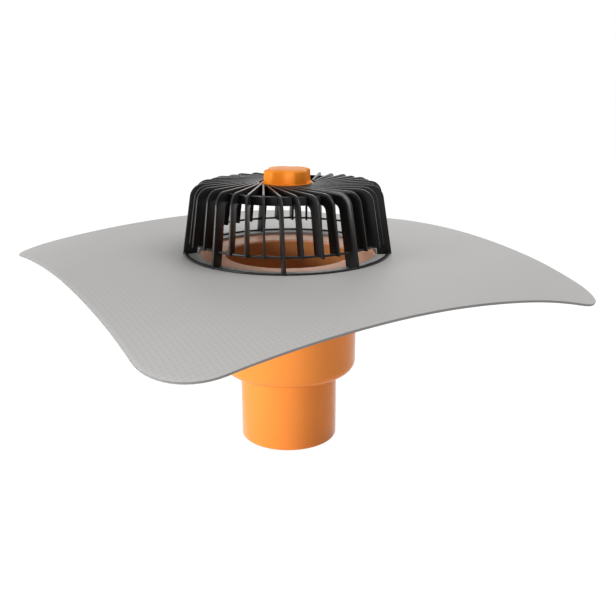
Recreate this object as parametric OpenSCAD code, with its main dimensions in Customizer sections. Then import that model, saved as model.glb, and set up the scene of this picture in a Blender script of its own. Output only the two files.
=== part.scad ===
// Flat roof drain with a vertical spigot, a factory-fitted roofing skirt and a leaf
// basket with a turning hand knob. Millimetres, +Z up.
// The origin is on the drain's axis, at the open end of the spigot.

/* [Drain body] */
// Outside diameter of the spigot that enters the downpipe socket
spigot_d = 110; // [90:1:124]
// Wall of the spigot
spigot_wall = 6; // [3:0.5:10]
// Length of the spigot, up to the shoulder of the bowl
spigot_len = 81; // [50:1:150]
// Outside diameter of the bowl
bowl_d = 153.4; // [148:0.2:170]
// Wall of the bowl and of its shoulder
bowl_wall = 8.5; // [4:0.5:11]
// Height from the shoulder's underside to the flange's top
bowl_depth = 134.8; // [80:0.2:220]
// Radius of the shoulder's outer corner
shoulder_r = 11; // [3:0.5:15]
// Radius that rounds the throat, where the bowl's floor runs into the spigot
throat_r = 8.5; // [2:0.5:9]
// Diameter of the flange under the skirt
flange_d = 252; // [240:1:300]
// Thickness of the flange at its rim
flange_t = 5; // [3:0.5:8]
// How far the flange's top falls towards the inlet
flange_fall = 1.1; // [0:0.1:2]
// Rounding of the inlet edge
inlet_r = 2; // [0.5:0.5:4]
// Fillet between the bowl and the flange's underside
flange_fillet = 8; // [1:0.5:15]

/* [Roofing skirt] */
// Side of the square skirt, flat
skirt_w = 496; // [420:2:640]
// Thickness of the roofing sheet
skirt_t = 2.5; // [1.5:0.1:4]
// Radius of the skirt's corners
skirt_corner_r = 55.5; // [20:0.5:100]
// Diameter of the skirt's opening
skirt_hole_d = 195.6; // [175:0.2:208]
// Droop of each corner: back right, back left, front left, front right
corner_droop = [19.9, 23.7, 22.5, 24.4]; // [0:0.1:45]
// Lift of the middle of each side: right, back, left, front
side_lift = [-2.3, 2.9, 1.7, -3.3]; // [-8:0.1:8]

/* [Leaf basket] */
// Height of the basket's ribs at the hub
basket_h = 75.3; // [60:0.1:110]
// Outside diameter of the ring that rests on the skirt
ring_d = 228; // [216:1:238]
// Width of that ring
ring_w = 4; // [2.5:0.5:8]
// Height of that ring
ring_h = 2; // [1.2:0.1:5]
// Plan angle of the first leg
basket_turn = -1.5; // [-45:0.5:45]
// Number of legs that reach the ring
leg_count = 9; // [6:1:11]
// Ribs from one leg to the next, the leg included
ribs_per_leg = 4; // [2:2:4]
// Thickness of a rib
rib_t = 2.3; // [1.8:0.1:3]
// Depth of a leg's upright, from its outer to its inner edge
rib_depth = 15.5; // [9:0.5:20]
// How far every second rib is set back from the outer face
rib_recess = 3; // [0:0.5:5]
// Radius of the circle that the swirled ribs are tangent to
rib_swirl = 25.5; // [0:0.5:27]
// Inward lean of the uprights, in degrees
rib_lean = 9.45; // [4:0.05:14]
// Rise of the rib tops towards the hub, in degrees
rib_rise = 0.3; // [0:0.1:8]
// Depth of the ribs across the top
rib_top_depth = 12; // [8:0.5:15]
// Outer corner radius of the ribs
rib_corner_r = 15.5; // [6:0.5:20]
// Inner corner radius of the ribs
rib_inner_r = 7; // [2:0.5:10]
// Height of the middle of the hoop that ends the short ribs
hoop_z = 16.3; // [12:0.1:30]
// Height of the hoop's section
hoop_h = 2.3; // [1.8:0.1:4]
// Width of the hoop's section
hoop_w = 2.4; // [1.8:0.1:4]
// Distance from the legs' outer face in to the middle of the hoop
hoop_inset = 6.5; // [5:0.1:8]
// Middle diameter of the band under the rib tops
band_d = 166; // [120:1:172]
// Thickness of that band
band_t = 2.2; // [1.6:0.1:4]
// Height of that band
band_h = 9; // [4:0.5:10]
// Diameter of the hub
hub_d = 64; // [60:1:80]
// Thickness of the hub's plate
hub_t = 2.8; // [2:0.1:5]
// Wall of the hub's rim and of its boss
hub_wall = 3; // [2:0.1:5]
// How far the hub's plate lies below the rib tops
hub_drop = 1.3; // [0.2:0.1:3]
// Length of the boss that guides the knob's shank
boss_h = 13; // [8:0.5:20]

/* [Knob] */
// Diameter over the knob's lobes
knob_d = 53; // [44:0.5:58]
// Height of the knob above the hub's plate
knob_h = 16.4; // [10:0.1:25]
// Number of lobes
knob_lobes = 4; // [3:1:6]
// Angle that each lobe's outer face takes up
lobe_angle = 36; // [20:1:40]
// Depth of the grip hollows between the lobes
grip_depth = 5.5; // [2:0.1:7]
// Chamfer round the knob's top
knob_chamfer = 3; // [1:0.1:4]
// Plan angle of the first lobe at rest
knob_angle = 4.5; // [-45:0.5:45]
// Diameter of the thin collar at the knob's foot
collar_d = 55; // [52:0.5:59]
// Height of that collar
collar_h = 1.2; // [0.8:0.1:3]
// Diameter of the shank
shank_d = 18; // [12:0.5:22]
// Wall of the hollow shank
shank_wall = 2.2; // [1.5:0.1:4]
// How far the snap head stands out from the shank
snap_lip = 1; // [0.5:0.1:2]
// Height of the snap head
snap_h = 3; // [2:0.5:5]
// Width of the slots that part the shank into fingers
slot_w = 3; // [2:0.5:5]
// Running clearance round the shank
shank_clearance = 0.1; // [0.05:0.01:0.1]
// Clearance above and below the hub
seat_gap = 0.3; // [0.1:0.05:0.5]

/* [Hidden] */
$fn = 96;
far = 400;
over = 1; // how far the small cutters reach past what they cut

// Heights of the levels that the pieces share
flange_z = spigot_len + bowl_depth;
seat_z = flange_z + skirt_t;

spigot_r = spigot_d / 2;
bore_r = spigot_r - spigot_wall;
bowl_r = bowl_d / 2;
inlet_radius = bowl_r - bowl_wall;
flange_r = flange_d / 2;

// The skirt's plan: a square with round corners, stepped round by arcs and sides
skirt_half = skirt_w / 2;
corner_steps = 7;
side_steps = 10;
skirt_rings = 9;
corner_reach = sqrt(2) * skirt_half - (sqrt(2) - 1) * skirt_corner_r;
droop_power = 2.7;
lift_power = 1.6;

rib_count = leg_count * ribs_per_leg;
leg_overhang = 0.9; // past the ring's outer face
leg_inset = 4; // to the place where a leg's plan angle is measured
leg_t = chord_at(ring_d / 2 + leg_overhang);
rib_twist = asin(rib_swirl / (ring_d / 2 - leg_inset));
hub_r = hub_d / 2;
hub_z = basket_h - hub_drop;
boss_r = shank_d / 2 + shank_clearance + hub_wall;
short_rib_overlap = 0.5; // below the hoop's underside
short_rib_z = hoop_z - hoop_h / 2 - short_rib_overlap;
arc_steps = 8;

knob_r = knob_d / 2;
shank_r = shank_d / 2;
grip_span = 180 / knob_lobes - lobe_angle / 2;
grip_chord = knob_r * sin(grip_span);
grip_r = (grip_chord * grip_chord + grip_depth * grip_depth) / (2 * grip_depth);
grip_x = knob_r * cos(grip_span) - grip_depth + grip_r;
hollow_extra = 0.35; // the hollows' chamfer is this much wider than the rim's
hollow_chamfer = knob_chamfer + hollow_extra;

// Points along an arc
function arc(centre, r, from, to) =
    [for (i = [0 : arc_steps]) centre + r * dir(from + (to - from) * i / arc_steps)];

function dir(a) = [cos(a), sin(a)];

// Distance along a swirled rib from its tangent point, where the rib is r from the axis
function chord_at(r) = sqrt(r * r - rib_swirl * rib_swirl);

// Arc of radius r that rounds the corner b of the path a, b, c
function rounded(a, b, c, r) =
    let (u = (a - b) / norm(a - b))
    let (v = (c - b) / norm(c - b))
    let (half = acos(u * v) / 2)
    let (centre = b + (u + v) / norm(u + v) * r / sin(half))
    let (p = b + u * r / tan(half))
    let (q = b + v * r / tan(half))
    let (from = atan2(p.y - centre.y, p.x - centre.x))
    let (sweep = atan2(q.y - centre.y, q.x - centre.x) - from)
    let (turn = sweep > 180 ? sweep - 360 : sweep < -180 ? sweep + 360 : sweep)
    arc(centre, r, from, from + turn);

// One-piece moulding: flange, bowl, shoulder and spigot
module drain_body() {
    throat_z = spigot_len + bowl_wall;
    lip_z = flange_z - flange_fall;
    under_z = flange_z - flange_t;
    outline = concat(
        [[bore_r, 0], [spigot_r, 0]],
        [[spigot_r, spigot_len]],
        arc([bowl_r - shoulder_r, spigot_len + shoulder_r], shoulder_r, -90, 0),
        arc([bowl_r + flange_fillet, under_z - flange_fillet], flange_fillet, 180, 90),
        [[flange_r, under_z], [flange_r, flange_z], [skirt_hole_d / 2, flange_z]],
        arc([inlet_radius + inlet_r, lip_z - inlet_r], inlet_r, 90, 180),
        arc([inlet_radius - throat_r, throat_z + throat_r], throat_r, 0, -90),
        arc([bore_r + throat_r, throat_z - throat_r], throat_r, 90, 180)
    );
    color("darkorange")
        rotate_extrude()
            polygon(outline);
}

// Square of roofing sheet that is bonded to the flange and hangs freely outside it
module roofing_skirt() {
    inset = skirt_half - skirt_corner_r;
    corners = [[1, 1], [-1, 1], [-1, -1], [1, -1]];
    edge = [for (q = [0 : 3])
        let (here = inset * corners[q])
        let (next = inset * corners[(q + 1) % 4])
        let (side_dir = skirt_corner_r * dir(90 * q + 90))
        each concat(
            [for (j = [0 : corner_steps]) here + skirt_corner_r * dir(90 * q + 90 * j / corner_steps)],
            [for (j = [1 : side_steps - 1]) side_dir + here + (next - here) * j / side_steps]
        )
    ];
    n = len(edge);
    plan = [for (i = [0 : skirt_rings]) for (p = edge)
        let (flat = flange_r * p / norm(p))
        flat + (p - flat) * i / skirt_rings
    ];
    top = [for (p = plan) [p.x, p.y, seat_z + skirt_bend(p)]];
    bottom = [for (p = top) p - [0, 0, skirt_t]];
    m = len(top);
    cells = [for (i = [0 : skirt_rings - 1]) for (j = [0 : n - 1])
        [i * n + j, (i + 1) * n + j, (i + 1) * n + (j + 1) % n, i * n + (j + 1) % n]
    ];
    rim = skirt_rings * n;
    faces = concat(
        [[for (j = [n - 1 : -1 : 0]) j]],
        [for (c = cells) each [[c[0], c[2], c[1]], [c[0], c[3], c[2]]]],
        [[for (j = [0 : n - 1]) m + j]],
        [for (c = cells) each [[m + c[0], m + c[1], m + c[2]], [m + c[0], m + c[2], m + c[3]]]],
        [for (j = [0 : n - 1])
            let (k = (j + 1) % n)
            each [[rim + j, rim + k, m + rim + k], [rim + j, m + rim + k, m + rim + j]]
        ]
    );
    color("silver")
        difference() {
            polyhedron(concat(top, bottom), faces);
            translate([0, 0, flange_z - far / 2])
                cylinder(h = far, d = skirt_hole_d);
        }
}

// Height of the bent skirt above its flat centre
function skirt_bend(p) =
    let (droops = [for (q = [0 : 3]) corner_droop[q] * pow(beyond(p, 45 + 90 * q, corner_reach), droop_power)])
    let (lifts = [for (q = [0 : 3]) side_lift[q] * pow(beyond(p, 90 * q, skirt_half), lift_power)])
    lifts * [1, 1, 1, 1] - droops * [1, 1, 1, 1];

// Share of the way from the flange's rim to the skirt's edge, seen along one direction
function beyond(p, a, reach) = max((p * dir(a) - flange_r) / (reach - flange_r), 0);

// One-piece moulding: ring, swirled ribs, hoop, band and hub
module leaf_basket() {
    color("dimgray")
        translate([0, 0, seat_z])
            difference() {
                union() {
                    ring_section(ring_d / 2 - ring_w, ring_d / 2, 0, ring_h);
                    basket_hoop();
                    ring_section(band_d / 2 - band_t / 2, band_d / 2 + band_t / 2, band_z(), band_z() + band_h);
                    basket_hub();
                    for (i = [0 : rib_count - 1])
                        rotate([0, 0, basket_turn + rib_twist + i * 360 / rib_count])
                            basket_rib(i % ribs_per_leg == 0 ? 0 : short_rib_z, i % 2 == 0 ? 0 : rib_recess);
                }
                cylinder(h = far, r = shank_r + shank_clearance);
            }
}

// Underside of the band: level with the undersides of the ribs there
function band_z() =
    basket_h - (band_d / 2 - hub_r) * tan(rib_rise) - rib_top_depth;

module ring_section(r_in, r_out, z_low, z_high) {
    rotate_extrude()
        translate([r_in, z_low])
            square([r_out - r_in, z_high - z_low]);
}

module basket_hoop() {
    mid = ring_d / 2 + leg_overhang - hoop_z * tan(rib_lean) - hoop_inset;
    ring_section(mid - hoop_w / 2, mid + hoop_w / 2, hoop_z - hoop_h / 2, hoop_z + hoop_h / 2);
}

// Shallow cup that the ribs run into, with a boss round the knob's shank
module basket_hub() {
    rim_z = hub_z - rib_top_depth;
    ring_section(0, hub_r, hub_z - hub_t, hub_z);
    ring_section(hub_r - hub_wall, hub_r, rim_z, hub_z);
    ring_section(0, boss_r, hub_z - boss_h, hub_z);
}

// One rib: a flat plate, drawn along its own length and set off the axis by the swirl
module basket_rib(foot_z, recess) {
    lean = tan(rib_lean);
    rise = tan(rib_rise);
    hub_t_in = chord_at(hub_r - hub_wall / 2);
    outer = leg_t - recess;
    inner = leg_t - rib_depth;
    // Corner where the leaning face meets the rising top, outside and inside
    top_at_axis = basket_h + chord_at(hub_r) * rise;
    corner_x = (outer - lean * top_at_axis) / (1 - lean * rise);
    corner = [corner_x, top_at_axis - rise * corner_x];
    under_at_axis = top_at_axis - rib_top_depth;
    inner_x = (inner - lean * under_at_axis) / (1 - lean * rise);
    inner_corner = [inner_x, under_at_axis - rise * inner_x];
    foot_out = [outer - lean * foot_z, foot_z];
    foot_in = [inner - lean * foot_z, foot_z];
    hub_top = [hub_t_in, top_at_axis - rise * hub_t_in];
    hub_under = hub_top - [0, rib_top_depth];
    outline = concat(
        [foot_in, foot_out],
        rounded(foot_out, corner, hub_top, rib_corner_r),
        [hub_top, hub_under],
        rounded(hub_under, inner_corner, foot_in, rib_inner_r)
    );
    translate([0, rib_t / 2 - rib_swirl, 0])
        rotate([90, 0, 0])
            linear_extrude(rib_t)
                polygon(outline);
}

// Lobed hand knob with a slotted shank that snaps under the hub's boss
module basket_knob() {
    foot_z = seat_gap;
    grip_z = foot_z + collar_h;
    snap_z = -boss_h - seat_gap;
    end_z = snap_z - snap_h;
    head_r = shank_r + snap_lip;
    hollow_r = shank_r - shank_wall;
    outline = [
        [0, foot_z], [hollow_r, foot_z], [hollow_r, end_z],
        [shank_r, end_z], [head_r, snap_z], [shank_r, snap_z],
        [shank_r, foot_z], [collar_d / 2, foot_z], [collar_d / 2, grip_z],
        [knob_r, grip_z], [knob_r, knob_h - knob_chamfer], [knob_r - knob_chamfer, knob_h],
        [0, knob_h]
    ];
    color("orange")
        translate([0, 0, seat_z + hub_z])
            rotate([0, 0, knob_angle])
                difference() {
                    rotate_extrude()
                        polygon(outline);
                    for (i = [0 : knob_lobes - 1])
                        rotate([0, 0, (i + 0.5) * 360 / knob_lobes])
                            translate([grip_x, 0, 0])
                                grip_hollow(grip_z);
                    for (a = [0, 90])
                        rotate([0, 0, a])
                            translate([-head_r - over, -slot_w / 2, end_z - over])
                                cube([2 * (head_r + over), slot_w, over - end_z - hub_t]);
                }
}

// Cutter for one grip hollow, wider at the top where it chamfers the edge
module grip_hollow(low_z) {
    flare = hollow_chamfer + over;
    rotate_extrude()
        polygon([
            [0, low_z], [grip_r, low_z], [grip_r, knob_h - hollow_chamfer],
            [grip_r + flare, knob_h + over], [0, knob_h + over]
        ]);
}

drain_body();
roofing_skirt();
leaf_basket();
basket_knob();
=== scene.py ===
# Flat roof drain, built up in the order in which it is put together: the moulded drain
# body, the roofing skirt bonded to its flange, the leaf basket that stands on the skirt,
# and the hand knob in the basket's hub. Metres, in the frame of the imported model.
import math

import bpy
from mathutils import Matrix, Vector


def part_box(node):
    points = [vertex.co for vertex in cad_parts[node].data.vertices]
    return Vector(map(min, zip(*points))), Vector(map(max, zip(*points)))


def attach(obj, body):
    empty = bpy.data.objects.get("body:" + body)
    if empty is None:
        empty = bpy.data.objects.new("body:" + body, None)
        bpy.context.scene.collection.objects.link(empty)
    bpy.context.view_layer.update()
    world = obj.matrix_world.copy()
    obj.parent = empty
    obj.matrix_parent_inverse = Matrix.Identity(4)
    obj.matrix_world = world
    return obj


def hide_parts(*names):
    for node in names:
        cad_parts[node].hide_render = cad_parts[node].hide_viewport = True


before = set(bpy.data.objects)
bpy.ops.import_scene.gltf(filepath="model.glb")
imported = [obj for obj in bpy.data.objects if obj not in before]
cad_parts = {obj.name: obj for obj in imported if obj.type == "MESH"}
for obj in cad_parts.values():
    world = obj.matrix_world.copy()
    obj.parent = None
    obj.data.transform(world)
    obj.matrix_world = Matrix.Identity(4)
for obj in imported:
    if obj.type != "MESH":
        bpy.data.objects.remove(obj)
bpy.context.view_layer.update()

bpy.ops.object.select_all(action="DESELECT")

# ---------------------------------------------------------------------------
# Drain body
# One polyurethane moulding: a broad flange, a deep round bowl, a rounded shoulder and
# a straight spigot for a DN 110 socket. It comes out of a polished tool, so its skin
# is smooth and glossy, with a slight ripple and no seams.
# ---------------------------------------------------------------------------
mm = 0.001


def arc(centre, radius, start, end, steps):
    """Points along an arc of an outline, with its angles in degrees."""
    points = []
    for i in range(steps + 1):
        a = math.radians(start + (end - start) * i / steps)
        points.append((centre[0] + radius * math.cos(a), centre[1] + radius * math.sin(a)))
    return points


def turned(name, outline, around):
    """A round piece: a circle is drawn out along a closed outline of (radius, height)."""
    radius, height = outline[0]
    bpy.ops.mesh.primitive_circle_add(vertices=around, radius=radius, location=(0, 0, 0))
    piece = bpy.context.object
    piece.name = name
    bpy.ops.object.mode_set(mode="EDIT")
    bpy.ops.transform.translate(value=(0, 0, height))
    for next_radius, next_height in outline[1:] + outline[:1]:
        bpy.ops.mesh.extrude_region_move(TRANSFORM_OT_translate={"value": (0, 0, next_height - height)})
        ratio = next_radius / radius
        bpy.ops.transform.resize(value=(ratio, ratio, 1), center_override=(0, 0, next_height))
        radius, height = next_radius, next_height
    bpy.ops.mesh.select_all(action="SELECT")
    bpy.ops.mesh.remove_doubles(threshold=0.002 * mm)
    bpy.ops.mesh.normals_make_consistent(inside=False)
    bpy.ops.object.mode_set(mode="OBJECT")
    return piece


def smooth(piece, degrees):
    """Shades a piece smooth, with its edges over this angle kept crisp."""
    bpy.ops.object.select_all(action="DESELECT")
    piece.select_set(True)
    bpy.context.view_layer.objects.active = piece
    bpy.ops.object.shade_smooth_by_angle(angle=math.radians(degrees))
    bpy.ops.object.select_all(action="DESELECT")


def linear(hex_colour):
    """An sRGB colour such as "#f29a55" as linear red, green, blue and alpha."""
    values = [int(hex_colour[i:i + 2], 16) / 255 for i in (1, 3, 5)]
    return [v / 12.92 if v <= 0.04045 else ((v + 0.055) / 1.055) ** 2.4 for v in values] + [1.0]


def add_node(tree, kind, settings, links):
    """Adds a shader node, sets its options and sockets, and links its inputs."""
    node = tree.nodes.new(kind)
    for key, value in settings.items():
        if isinstance(key, str) and hasattr(node, key):
            setattr(node, key, value)
        else:
            node.inputs[key].default_value = value
    for key, source in links.items():
        tree.links.new(source, node.inputs[key])
    return node


def new_material(name):
    """An empty node material: its tree, its shader and its object coordinates."""
    material = bpy.data.materials.new(name)
    material.use_nodes = True
    tree = material.node_tree
    shader = tree.nodes["Principled BSDF"]
    place = tree.nodes.new("ShaderNodeTexCoord").outputs["Object"]
    return material, tree, shader, place


spigot_radius = 55 * mm
bore_radius = 49 * mm
shoulder_height = 81 * mm
bowl_radius = 76.7 * mm
inlet_radius = 68.2 * mm
shoulder_round = 11 * mm
throat_round = 8.5 * mm
floor_height = shoulder_height + bowl_radius - inlet_radius
flange_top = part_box("drain_body")[1][2]
flange_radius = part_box("drain_body")[1][0]
flange_thick = 5 * mm
flange_fall = 1.1 * mm
flange_fillet = 8 * mm
skirt_opening = 97.8 * mm
inlet_round = 2 * mm
edge_round = 0.8 * mm
end_round = 0.3 * mm

under_flange = flange_top - flange_thick
body_outline = (
    arc((bore_radius + end_round, end_round), end_round, 180, 270, 3)
    + arc((spigot_radius - end_round, end_round), end_round, -90, 0, 3)
    + [(spigot_radius, shoulder_height)]
    + arc((bowl_radius - shoulder_round, shoulder_height + shoulder_round), shoulder_round, -90, 0, 14)
    + arc((bowl_radius + flange_fillet, under_flange - flange_fillet), flange_fillet, 180, 90, 10)
    + arc((flange_radius - edge_round, under_flange + edge_round), edge_round, -90, 0, 3)
    + arc((flange_radius - edge_round, flange_top - edge_round), edge_round, 0, 90, 3)
    + [(skirt_opening, flange_top)]
    + arc((inlet_radius + inlet_round, flange_top - flange_fall - inlet_round), inlet_round, 90, 180, 6)
    + arc((inlet_radius - throat_round, floor_height + throat_round), throat_round, 0, -90, 10)
    + arc((bore_radius + throat_round, floor_height - throat_round), throat_round, 90, 180, 10)
)
body = turned("drain_body_moulding", body_outline, 256)
smooth(body, 35)

# Polyurethane skin: an even orange that varies a little in depth, and a faint ripple.
# The inside of the bowl is painted a darker, greyer orange as painted shade, and the open face
# of the flange is matt and painted pale as a painted reflection of the white surround.
depth_patch = 55 * mm
ripple_width = 4 * mm
ripple_height = 0.2 * mm
zone_margin = 0.5 * mm
flange_matt = 0.2

body_plastic, tree, shader, place = new_material("orange_moulded_polyurethane")
cloud = add_node(tree, "ShaderNodeTexNoise", {"Scale": 1 / depth_patch, "Detail": 3.0}, {"Vector": place})
tone = add_node(
    tree, "ShaderNodeMix", {"data_type": "RGBA", "A": linear("#f2903e"), "B": linear("#f69643")},
    {"Factor": cloud.outputs["Fac"]},
)
flat_place = add_node(tree, "ShaderNodeVectorMath", {"operation": "MULTIPLY", 1: (1, 1, 0)}, {0: place})
from_axis = add_node(
    tree, "ShaderNodeVectorMath", {"operation": "LENGTH"}, {0: flat_place.outputs["Vector"]}
)
height = add_node(tree, "ShaderNodeSeparateXYZ", {}, {"Vector": place})


def painted_light_zone(widest, lowest):
    """1 on the part of the body inside this radius and above this height, else 0."""
    near = add_node(
        tree, "ShaderNodeMath", {"operation": "LESS_THAN", 1: widest}, {0: from_axis.outputs["Value"]}
    )
    high = add_node(
        tree, "ShaderNodeMath", {"operation": "GREATER_THAN", 1: lowest}, {0: height.outputs["Z"]}
    )
    both = add_node(
        tree, "ShaderNodeMath", {"operation": "MULTIPLY"},
        {0: near.outputs["Value"], 1: high.outputs["Value"]},
    )
    return both.outputs["Value"]


bowl_shade_mask = painted_light_zone(inlet_radius + zone_margin, floor_height - throat_round)
flange_face = painted_light_zone(skirt_opening + 2 * zone_margin, flange_top - flange_fall - inlet_round)
# Painted shade: the inside of the bowl is coloured a darker, greyer orange
shaded_bowl_tone = add_node(
    tree, "ShaderNodeMix", {"data_type": "RGBA", "B": linear("#d08b54")},
    {"Factor": bowl_shade_mask, "A": tone.outputs["Result"]},
)
# Painted reflection: the open face of the flange is coloured paler, as if it caught the white surround
flange_sheen_tone = add_node(
    tree, "ShaderNodeMix", {"data_type": "RGBA", "B": linear("#efaf8a")},
    {"Factor": flange_face, "A": shaded_bowl_tone.outputs["Result"]},
)
polish = add_node(
    tree, "ShaderNodeMapRange", {"To Min": 0.18, "To Max": 0.26}, {"Value": cloud.outputs["Fac"]}
)
matt = add_node(
    tree, "ShaderNodeMath", {"operation": "MULTIPLY_ADD", 1: flange_matt},
    {0: flange_face, 2: polish.outputs["Result"]},
)
ripple = add_node(tree, "ShaderNodeTexNoise", {"Scale": 1 / ripple_width, "Detail": 2.0}, {"Vector": place})
skin = add_node(
    tree, "ShaderNodeBump", {"Strength": 0.04, "Distance": ripple_height}, {"Height": ripple.outputs["Fac"]}
)
tree.links.new(flange_sheen_tone.outputs["Result"], shader.inputs["Base Color"])
tree.links.new(matt.outputs["Value"], shader.inputs["Roughness"])
tree.links.new(skin.outputs["Normal"], shader.inputs["Normal"])
shader.inputs["Specular IOR Level"].default_value = 0.14
body.data.materials.append(body_plastic)
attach(body, "drain")
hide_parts("drain_body")

# ---------------------------------------------------------------------------
# Roofing skirt
# A square of reinforced PVC roofing sheet, 2.5 mm thick, bonded flat to the flange in
# the factory. Outside the flange it is free: its corners hang and its sides ripple.
# ---------------------------------------------------------------------------
skirt_thick = 2.5 * mm
skirt_corner = 55.5 * mm
skirt_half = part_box("roofing_skirt")[1][0]
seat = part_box("leaf_basket")[0][2]
droop_power = 2.7
lift_power = 1.6
around = 360
rings = 40
skirt_bevel = 0.5 * mm
corner_reach = math.sqrt(2) * skirt_half - (math.sqrt(2) - 1) * skirt_corner


def unit(degrees):
    """The direction at this angle about the axis."""
    return Vector((math.cos(math.radians(degrees)), math.sin(math.radians(degrees))))


def skirt_edge(direction):
    """Where a ray from the axis meets the skirt's edge, a square with round corners."""
    x, y = abs(direction.x), abs(direction.y)
    far = skirt_half / max(x, y)
    centre = Vector((skirt_half - skirt_corner, skirt_half - skirt_corner))
    if min(x, y) * far <= centre.x:
        return far
    along = Vector((x, y)).dot(centre)
    return along + math.sqrt(along * along - centre.length_squared + skirt_corner * skirt_corner)


def past_flange(point, degrees, reach):
    """Share of the way from the flange's rim to the skirt's edge, seen along one direction."""
    return max((point.dot(unit(degrees)) - flange_radius) / (reach - flange_radius), 0)


# The hang of each corner and the lift of each side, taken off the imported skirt's edge
packed_skirt = [v.co.copy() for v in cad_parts["roofing_skirt"].data.vertices]
corner_droop = []
for degrees in (45, 135, 225, 315):
    outward = unit(degrees)
    tip = max(packed_skirt, key=lambda v: (round(v.xy.dot(outward), 6), v.z))
    corner_droop.append(seat - tip.z)
side_lift = []
for degrees in (0, 90, 180, 270):
    outward = unit(degrees)
    edge = max(packed_skirt, key=lambda v: (round(v.xy.dot(outward), 6) - abs(v.xy.cross(outward)), v.z))
    side_lift.append(edge.z - seat)


def skirt_height(point):
    """Height of the sheet's upper face: flat on the flange, then down or up to its edge."""
    height = seat
    for i in range(4):
        height -= corner_droop[i] * past_flange(point, 45 + 90 * i, corner_reach) ** droop_power
        height += side_lift[i] * past_flange(point, 90 * i, skirt_half) ** lift_power
    return height


# The sheet grows out of its round opening, ring by ring, and is then laid in its form
bpy.ops.mesh.primitive_circle_add(vertices=around, radius=skirt_opening, location=(0, 0, 0))
skirt = bpy.context.object
skirt.name = "roofing_skirt_sheet"
bpy.ops.object.mode_set(mode="EDIT")
for i in range(rings):
    bpy.ops.mesh.extrude_region_move(TRANSFORM_OT_translate={"value": (0, 0, 0)})
    bpy.ops.transform.resize(value=(1.01, 1.01, 1), center_override=(0, 0, 0))
bpy.ops.mesh.select_all(action="SELECT")
bpy.ops.mesh.normals_make_consistent(inside=False)
bpy.ops.object.mode_set(mode="OBJECT")
for i, vertex in enumerate(skirt.data.vertices):
    share = (i // around) / rings
    direction = vertex.co.xy.normalized()
    point = direction * (skirt_opening + (skirt_edge(direction) - skirt_opening) * share)
    vertex.co = (point.x, point.y, skirt_height(point))


def finish_with(piece, kind, **settings):
    """Adds a modifier to a piece and applies it."""
    bpy.context.view_layer.objects.active = piece
    modifier = piece.modifiers.new(kind.title(), kind)
    for key, value in settings.items():
        setattr(modifier, key, value)
    bpy.ops.object.modifier_apply(modifier=modifier.name)


finish_with(skirt, "SOLIDIFY", thickness=skirt_thick, offset=-1.0)
finish_with(
    skirt, "BEVEL", width=skirt_bevel, segments=3, limit_method="ANGLE", angle_limit=math.radians(50)
)
smooth(skirt, 40)

# Calendered grey PVC, matt and a little uneven in tone. Its reinforcing threads stand out
# as a fine emboss in both directions. They are 2.5 mm apart, but the weave is drawn twice
# as coarse, because it would be too fine to show. At scale 1 a wave texture turns through
# 20 radians to the metre.
thread_pitch = 2.5 * mm
weave_pitch = 2 * thread_pitch
weave_height = 0.1 * mm
mottle_patch = 110 * mm
wave_turn = 2 * math.pi / 20

skirt_sheet, tree, shader, place = new_material("grey_reinforced_pvc_sheet")
threads = []
for direction in ("X", "Y"):
    threads.append(add_node(
        tree, "ShaderNodeTexWave",
        {"bands_direction": direction, "Scale": wave_turn / weave_pitch, "Distortion": 0.4, "Detail": 1.0},
        {"Vector": place},
    ))
weave = add_node(
    tree, "ShaderNodeMath", {"operation": "MULTIPLY"},
    {0: threads[0].outputs["Fac"], 1: threads[1].outputs["Fac"]},
)
mottle = add_node(tree, "ShaderNodeTexNoise", {"Scale": 1 / mottle_patch, "Detail": 4.0}, {"Vector": place})
tone = add_node(
    tree, "ShaderNodeMix", {"data_type": "RGBA", "A": linear("#b9b9b8"), "B": linear("#c0bdba")},
    {"Factor": mottle.outputs["Fac"]},
)
shaded = add_node(
    tree, "ShaderNodeMix", {"data_type": "RGBA", "blend_type": "MULTIPLY", "B": linear("#f5f5f5")},
    {"Factor": weave.outputs["Value"], "A": tone.outputs["Result"]},
)
emboss = add_node(
    tree, "ShaderNodeBump", {"Strength": 0.12, "Distance": weave_height}, {"Height": weave.outputs["Value"]}
)
tree.links.new(shaded.outputs["Result"], shader.inputs["Base Color"])
tree.links.new(emboss.outputs["Normal"], shader.inputs["Normal"])
shader.inputs["Roughness"].default_value = 0.62
skirt.data.materials.append(skirt_sheet)

# The sheet's cut edges: rougher than its faces and painted a darker grey as painted shade on
# these side faces, with the cut ends of its threads in it
sheet_edge_shade, tree, shader, place = new_material("cut_edge_of_pvc_sheet")
thread_ends = add_node(
    tree, "ShaderNodeTexVoronoi", {"Scale": 1 / thread_pitch, "Randomness": 0.4}, {"Vector": place}
)
tone = add_node(
    tree, "ShaderNodeMix", {"data_type": "RGBA", "A": linear("#8f8e8d"), "B": linear("#868584")},
    {"Factor": thread_ends.outputs["Distance"]},
)
tree.links.new(tone.outputs["Result"], shader.inputs["Base Color"])
shader.inputs["Roughness"].default_value = 0.75
shader.inputs["Specular IOR Level"].default_value = 0.25
skirt.data.materials.append(sheet_edge_shade)

# Only the steep faces round the outside and round the opening are cut edges, with painted shade
for face in skirt.data.polygons:
    if abs(face.normal.z) < 0.8:
        face.material_index = 1
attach(skirt, "drain")
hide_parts("roofing_skirt")

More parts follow.
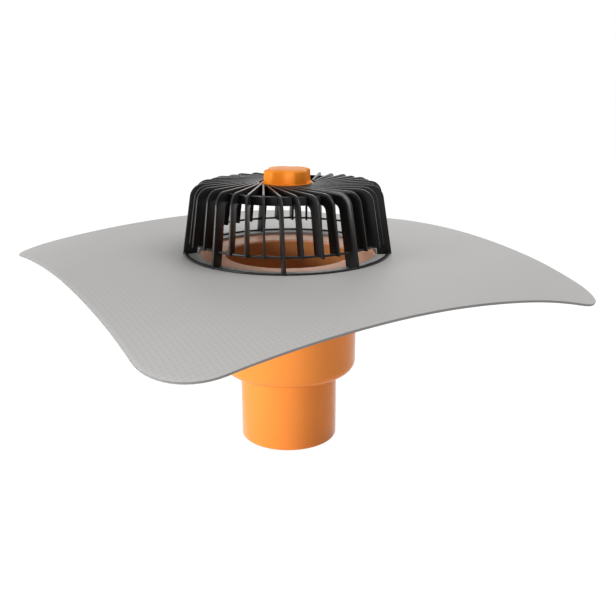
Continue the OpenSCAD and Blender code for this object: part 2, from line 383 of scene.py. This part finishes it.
# ---------------------------------------------------------------------------
# Leaf basket
# One black polypropylene moulding. Flat ribs leave a hub along lines that miss its
# centre, bend over and stand down as uprights; every fourth is a leg on the foot ring,
# the others end at a thin hoop, and a band ties them under the top.
# ---------------------------------------------------------------------------
basket_top = 75.3 * mm
ring_radius = 114 * mm
ring_width = 4 * mm
ring_height = 2 * mm
leg_radius = ring_radius + 0.9 * mm
swirl = 25.5 * mm
first_leg = -1.5
rib_count = 36
ribs_per_leg = 4
rib_thick = 2.3 * mm
rib_depth = 15.5 * mm
rib_recess = 3 * mm
rib_lean = math.tan(math.radians(9.45))
rib_rise = math.tan(math.radians(0.3))
rib_top_depth = 12 * mm
rib_round = 15.5 * mm
rib_inner_round = 7 * mm
hoop_middle = 16.3 * mm
hoop_height = 2.3 * mm
hoop_width = 2.4 * mm
hoop_inset = 6.5 * mm
hoop_bevel = 0.5 * mm
rib_overrun = 0.5 * mm
band_radius = 83 * mm
band_thick = 2.2 * mm
band_height = 9 * mm
hub_radius = 32 * mm
hub_top = basket_top - 1.3 * mm
hub_plate = 2.8 * mm
hub_wall = 3 * mm
hub_round = 0.8 * mm
boss_radius = 12.1 * mm
boss_height = 13 * mm
shank_hole = 9.1 * mm
edge_bevel = 0.4 * mm


def along_rib(radius):
    """How far out along a swirled rib a given radius is reached."""
    return math.sqrt(radius * radius - swirl * swirl)


def rounded(before, corner, after, radius, steps):
    """Arc that rounds one corner of an outline."""
    before, corner, after = Vector(before), Vector(corner), Vector(after)
    u = (before - corner).normalized()
    v = (after - corner).normalized()
    half = u.angle(v) / 2
    centre = corner + (u + v).normalized() * radius / math.sin(half)
    start = corner + u * radius / math.tan(half) - centre
    end = corner + v * radius / math.tan(half) - centre
    turn = start.angle_signed(end)
    points = []
    for i in range(steps + 1):
        a = math.atan2(start.y, start.x) - turn * i / steps
        points.append((centre.x + radius * math.cos(a), centre.y + radius * math.sin(a)))
    return points


def rib_outline(foot, recess):
    """Side view of a rib as (distance along it, height), from its foot round to the hub."""
    outer = along_rib(leg_radius) - recess
    inner = along_rib(leg_radius) - rib_depth
    hub_end = along_rib(hub_radius - hub_wall / 2)
    top = basket_top + along_rib(hub_radius) * rib_rise
    under = top - rib_top_depth
    corner_out = (outer - rib_lean * top) / (1 - rib_lean * rib_rise)
    corner_in = (inner - rib_lean * under) / (1 - rib_lean * rib_rise)
    foot_out = (outer - rib_lean * foot, foot)
    foot_in = (inner - rib_lean * foot, foot)
    hub_high = (hub_end, top - rib_rise * hub_end)
    hub_low = (hub_end, hub_high[1] - rib_top_depth)
    return (
        [foot_in, foot_out]
        + rounded(foot_out, (corner_out, top - rib_rise * corner_out), hub_high, rib_round, 12)
        + [hub_high, hub_low]
        + rounded(hub_low, (corner_in, under - rib_rise * corner_in), foot_in, rib_inner_round, 8)
    )


def plate(name, outline, thickness):
    """A flat plate: a filled circle is moved onto the outline and pulled to its thickness."""
    bpy.ops.mesh.primitive_circle_add(vertices=len(outline), radius=1, fill_type="NGON", location=(0, 0, 0))
    piece = bpy.context.object
    piece.name = name
    for vertex, (x, y) in zip(piece.data.vertices, outline):
        vertex.co = (x, y, -thickness / 2)
    bpy.ops.object.mode_set(mode="EDIT")
    bpy.ops.mesh.select_all(action="SELECT")
    bpy.ops.mesh.extrude_region_move(TRANSFORM_OT_translate={"value": (0, 0, thickness)})
    bpy.ops.mesh.select_all(action="SELECT")
    bpy.ops.mesh.normals_make_consistent(inside=False)
    bpy.ops.object.mode_set(mode="OBJECT")
    return piece


# A rib of each kind is modelled once, standing on the seat, and copied round. Every fourth
# rib is a leg, and every second one is set back.
short_foot = hoop_middle - hoop_height / 2 - rib_overrun
twist = math.degrees(math.asin(swirl / (ring_radius - ring_width)))
basket_parts = []
rib_kinds = (("leg", 0, 0), ("short_rib", short_foot, 0), ("set_back_rib", short_foot, rib_recess))
for kind, foot, recess in rib_kinds:
    rib = plate(kind, rib_outline(foot, recess), rib_thick)
    finish_with(
        rib, "BEVEL", width=edge_bevel, segments=2, limit_method="ANGLE", angle_limit=math.radians(50)
    )
    rib.rotation_euler = (math.radians(90), 0, 0)
    rib.location = (0, -swirl, seat)
    bpy.ops.object.select_all(action="DESELECT")
    rib.select_set(True)
    bpy.ops.object.transform_apply(location=True, rotation=True, scale=True)
    for i in range(rib_count):
        is_leg = i % ribs_per_leg == 0
        is_set_back = i % 2 == 1
        if is_leg != (kind == "leg") or is_set_back != (kind == "set_back_rib"):
            continue
        copy = rib.copy()
        copy.data = rib.data.copy()
        bpy.context.collection.objects.link(copy)
        copy.rotation_euler = (0, 0, math.radians(first_leg + twist + 360 * i / rib_count))
        basket_parts.append(copy)
    bpy.data.objects.remove(rib)


def hoop(name, inner, outer, low, high, bevel):
    """A flat-sided ring with its four edges rounded, its heights taken from the seat."""
    outline = (
        arc((inner + bevel, low + bevel), bevel, 180, 270, 3)
        + arc((outer - bevel, low + bevel), bevel, -90, 0, 3)
        + arc((outer - bevel, high - bevel), bevel, 0, 90, 3)
        + arc((inner + bevel, high - bevel), bevel, 90, 180, 3)
    )
    return turned(name, [(r, seat + z) for r, z in outline], 216)


hoop_radius = leg_radius - hoop_middle * rib_lean - hoop_inset
band_low = basket_top - (band_radius - hub_radius) * rib_rise - rib_top_depth
basket_parts.append(hoop("foot_ring", ring_radius - ring_width, ring_radius, 0, ring_height, edge_bevel))
basket_parts.append(hoop(
    "thin_hoop", hoop_radius - hoop_width / 2, hoop_radius + hoop_width / 2,
    hoop_middle - hoop_height / 2, hoop_middle + hoop_height / 2, hoop_bevel,
))
basket_parts.append(hoop(
    "top_band", band_radius - band_thick / 2, band_radius + band_thick / 2,
    band_low, band_low + band_height, edge_bevel,
))
hub_low = hub_top - rib_top_depth
hub_outline = (
    [(shank_hole, hub_top - boss_height), (boss_radius, hub_top - boss_height)]
    + [(boss_radius, hub_top - hub_plate), (hub_radius - hub_wall, hub_top - hub_plate)]
    + [(hub_radius - hub_wall, hub_low), (hub_radius, hub_low)]
    + arc((hub_radius - hub_round, hub_top - hub_round), hub_round, 0, 90, 4)
    + [(shank_hole, hub_top)]
)
basket_parts.append(turned("hub", [(r, seat + z) for r, z in hub_outline], 128))
bpy.ops.object.select_all(action="DESELECT")
for part in basket_parts:
    part.select_set(True)
basket = basket_parts[-1]
bpy.context.view_layer.objects.active = basket
bpy.ops.object.join()
bpy.ops.object.transform_apply(location=True, rotation=True, scale=True)
basket.name = "leaf_basket_moulding"
smooth(basket, 35)

# Black polypropylene, moulded with a satin skin whose depth and shine vary a little
basket_grain = 17 * mm

basket_plastic, tree, shader, place = new_material("black_moulded_polypropylene")
grain = add_node(tree, "ShaderNodeTexNoise", {"Scale": 1 / basket_grain, "Detail": 4.0}, {"Vector": place})
tone = add_node(
    tree, "ShaderNodeMix", {"data_type": "RGBA", "A": linear("#1c1c1c"), "B": linear("#232323")},
    {"Factor": grain.outputs["Fac"]},
)
polish = add_node(
    tree, "ShaderNodeMapRange", {"To Min": 0.28, "To Max": 0.35}, {"Value": grain.outputs["Fac"]}
)
tree.links.new(tone.outputs["Result"], shader.inputs["Base Color"])
tree.links.new(polish.outputs["Result"], shader.inputs["Roughness"])
shader.inputs["Specular IOR Level"].default_value = 0.22
basket.data.materials.append(basket_plastic)
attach(basket, "drain")
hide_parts("leaf_basket")

# ---------------------------------------------------------------------------
# Knob
# A lobed hand knob moulded in orange, with a thin collar at its foot and a slotted
# shank below that snaps into the hub and lets it turn.
# ---------------------------------------------------------------------------
knob_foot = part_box("basket_knob")[0][2]
knob_radius = 26.5 * mm
knob_height = 16.4 * mm
knob_top = seat + hub_top + knob_height
knob_angle = 4.5
knob_bevel = 0.8 * mm
knob_sides = 120
lobes = 4
grip_depth = 5.5 * mm
lobe_share = 0.3
crown_steps = ((0.93, 0.9 * mm), (0.9, 0.65 * mm), (0.85, 0.45 * mm), (0.75, 0.3 * mm), (0.5, 0.1 * mm))
knob_crown = sum(rise for size, rise in crown_steps)
collar_low = seat + hub_top + 0.3 * mm
collar_high = collar_low + 1.2 * mm
collar_radius = 27.5 * mm
collar_round = 0.4 * mm
shank_radius = 9 * mm
shank_bore = 6.8 * mm
snap_radius = 10 * mm
snap_high = knob_foot + 3 * mm
slot_width = 3 * mm
slot_top = collar_low - 3.1 * mm
slot_reach = 30 * mm

# The grip: its outline, pulled up to the crown's foot and stepped in over the top
knob_outline = []
for i in range(knob_sides):
    turned_by = 360 / knob_sides * i
    wave = (1 - math.cos(math.radians(turned_by * lobes))) / 2
    grip = grip_depth * max(wave - lobe_share, 0) / (1 - lobe_share)
    knob_outline.append(unit(knob_angle + turned_by) * (knob_radius - grip))
knob = plate("hand_knob", knob_outline, knob_top - knob_crown - collar_low)
bpy.ops.object.mode_set(mode="EDIT")
bpy.ops.mesh.select_all(action="SELECT")
bpy.ops.transform.translate(value=(0, 0, (knob_top - knob_crown + collar_low) / 2))
bpy.ops.mesh.select_all(action="DESELECT")
bpy.ops.object.mode_set(mode="OBJECT")
for face in knob.data.polygons:
    face.select = face.normal.z > 0.9
bpy.ops.object.mode_set(mode="EDIT")
for size, rise in crown_steps:
    bpy.ops.mesh.extrude_region_move(TRANSFORM_OT_translate={"value": (0, 0, rise)})
    bpy.ops.transform.resize(value=(size, size, 1), center_override=(0, 0, 0))
bpy.ops.object.mode_set(mode="OBJECT")
finish_with(
    knob, "BEVEL", width=knob_bevel, segments=3, limit_method="ANGLE", angle_limit=math.radians(50)
)

# The collar and the hollow shank, cut into four fingers
shank_outline = [
    (shank_bore, knob_foot), (shank_radius, knob_foot), (snap_radius, snap_high), (shank_radius, snap_high),
    (shank_radius, collar_low), (collar_radius - collar_round, collar_low),
    (collar_radius, collar_low + collar_round), (collar_radius, collar_high - collar_round),
    (collar_radius - collar_round, collar_high), (shank_bore, collar_high),
]
shank = turned("knob_shank", shank_outline, 128)
for angle in (knob_angle, knob_angle + 90):
    bpy.ops.mesh.primitive_cube_add(size=1, location=(0, 0, slot_top - slot_reach / 2))
    slot_cutter = bpy.context.object
    slot_cutter.scale = (slot_reach, slot_width, slot_reach)
    slot_cutter.rotation_euler = (0, 0, math.radians(angle))
    finish_with(shank, "BOOLEAN", object=slot_cutter, operation="DIFFERENCE", solver="EXACT")
    bpy.data.objects.remove(slot_cutter)
bpy.ops.object.select_all(action="DESELECT")
shank.select_set(True)
knob.select_set(True)
bpy.context.view_layer.objects.active = knob
bpy.ops.object.join()
bpy.ops.object.transform_apply(location=True, rotation=True, scale=True)
smooth(knob, 35)

# Orange polypropylene, moulded in one and left satin. A little light passes into it, so
# its lobes look soft and deep in colour.
knob_patch = 22 * mm

knob_plastic, tree, shader, place = new_material("orange_moulded_polypropylene")
cloud = add_node(tree, "ShaderNodeTexNoise", {"Scale": 1 / knob_patch, "Detail": 3.0}, {"Vector": place})
tone = add_node(
    tree, "ShaderNodeMix", {"data_type": "RGBA", "A": linear("#ea871d"), "B": linear("#f08d25")},
    {"Factor": cloud.outputs["Fac"]},
)
tree.links.new(tone.outputs["Result"], shader.inputs["Base Color"])
shader.inputs["Roughness"].default_value = 0.5
shader.inputs["Specular IOR Level"].default_value = 0.15
shader.inputs["Subsurface Weight"].default_value = 0.3
shader.inputs["Subsurface Radius"].default_value = (1.0, 0.6, 0.3)
shader.inputs["Subsurface Scale"].default_value = 2 * mm
knob.data.materials.append(knob_plastic)
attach(knob, "knob")
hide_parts("basket_knob")

# ---------------------------------------------------------------------------
# Studio
# A white floor and a white surround. One soft lamp stands low on the left, a broad one
# hangs overhead, and a weak one behind picks out the upper edges.
# ---------------------------------------------------------------------------
floor_veil = 0.9
floor_glow = 1.08
surround_light = 0.29


def seen_white(tree):
    """1 for what the camera sees, straight or in gloss or through glass, else 0."""
    rays = tree.nodes.new("ShaderNodeLightPath")
    seen = rays.outputs["Is Camera Ray"]
    for kind in ("Is Glossy Ray", "Is Transmission Ray"):
        seen = add_node(
            tree, "ShaderNodeMath", {"operation": "MAXIMUM"}, {0: seen, 1: rays.outputs[kind]}
        ).outputs["Value"]
    return seen


# Nine tenths of what is seen of the floor is plain white, and the rest is its own lit
# surface, which keeps the drain's shadow
bpy.ops.mesh.primitive_plane_add(size=40, location=(0, 0, 0))
floor = bpy.context.object
floor.name = "studio_floor"
white, tree, shader, place = new_material("white_studio_floor")
shader.inputs["Base Color"].default_value = linear("#fcfcfc")
shader.inputs["Roughness"].default_value = 0.9
veil = add_node(tree, "ShaderNodeMath", {"operation": "MULTIPLY", 1: floor_veil}, {0: seen_white(tree)})
glow = add_node(tree, "ShaderNodeEmission", {"Color": (1, 1, 1, 1), "Strength": floor_glow}, {})
mix = add_node(
    tree, "ShaderNodeMixShader", {},
    {0: veil.outputs["Value"], 1: shader.outputs["BSDF"], 2: glow.outputs["Emission"]},
)
tree.links.new(mix.outputs["Shader"], tree.nodes["Material Output"].inputs["Surface"])
floor.data.materials.append(white)

# The surround lights the drain weakly and evenly, and is seen as white
world = bpy.data.worlds.new("white_surround")
bpy.context.scene.world = world
world.use_nodes = True
tree = world.node_tree
backdrop = tree.nodes["Background"]
level = add_node(
    tree, "ShaderNodeMapRange", {"To Min": surround_light, "To Max": 1.0}, {"Value": seen_white(tree)}
)
backdrop.inputs["Color"].default_value = (1, 1, 1, 1)
tree.links.new(level.outputs["Result"], backdrop.inputs["Strength"])


def soft_lamp(name, place, target, size, power):
    """A square soft lamp, turned to face the target."""
    bpy.ops.object.light_add(type="AREA", location=place)
    lamp = bpy.context.object
    lamp.name = name
    lamp.data.size = size
    lamp.data.energy = power
    lamp.rotation_euler = (Vector(target) - Vector(place)).to_track_quat("-Z", "Y").to_euler()
    return lamp


view_heading = -119.56


def from_view(sideways, back, up):
    """A place given as seen by the camera: to its right, towards it, and up."""
    towards = unit(view_heading)
    right = unit(view_heading + 90)
    return (right.x * sideways + towards.x * back, right.y * sideways + towards.y * back, up)


target = (0, 0, seat)
soft_lamp("left_softbox", from_view(-2.1, 1.25, 0.25), target, 1.2, 91)
soft_lamp("overhead_softbox", from_view(1.6, 0.5, 2.5), target, 2.0, 41)
soft_lamp("back_softbox", from_view(0.4, -2.2, 1.2), target, 1.4, 8)

camera_data = bpy.data.cameras.new("camera")
camera_data.lens = 46.35
camera_data.sensor_width = 36
camera = bpy.data.objects.new("camera", camera_data)
bpy.context.collection.objects.link(camera)
camera.location = from_view(0, 0.8605, seat + 0.1973)
camera.rotation_euler = (math.radians(72.877), 0, math.radians(-31.055))
bpy.context.scene.camera = camera
bpy.context.scene.view_settings.view_transform = "Standard"
